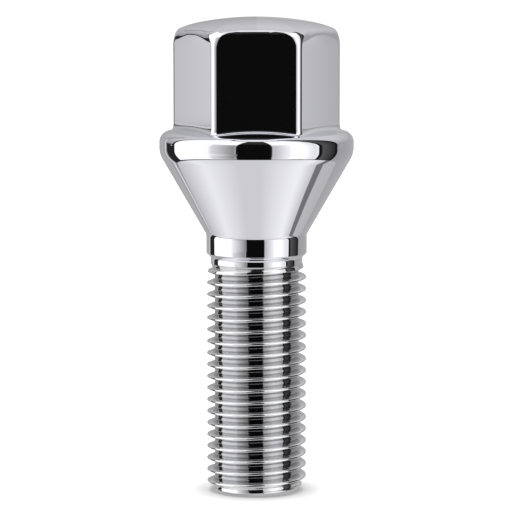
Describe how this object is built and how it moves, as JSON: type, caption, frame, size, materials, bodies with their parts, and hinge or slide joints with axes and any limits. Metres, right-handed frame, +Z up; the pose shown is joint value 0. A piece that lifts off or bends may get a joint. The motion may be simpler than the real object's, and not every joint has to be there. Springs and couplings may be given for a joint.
{
  "type": "wheel bolt",
  "caption": "Chrome-plated wheel bolt with a domed hexagon head, a round collar, a cone seat, a plain neck and a threaded shank with a chamfered tip.",
  "frame": {"origin": "middle of the tip's end face, at the bottom of the threaded shank", "axes": "+Z up the bolt's axis from the tip to the domed head; one flat of the hexagon faces -Y and two of its corners lie on X"},
  "size_m": [0.0272, 0.0272, 0.0668],
  "materials": {
    "chrome_plate": "bright chrome plating over forged steel, polished on the head, collar and seat and slightly satin in the thread"
  },
  "bodies": {
    "root": {"wheel_bolt": "chrome_plate"}
  },
  "joints": []
}
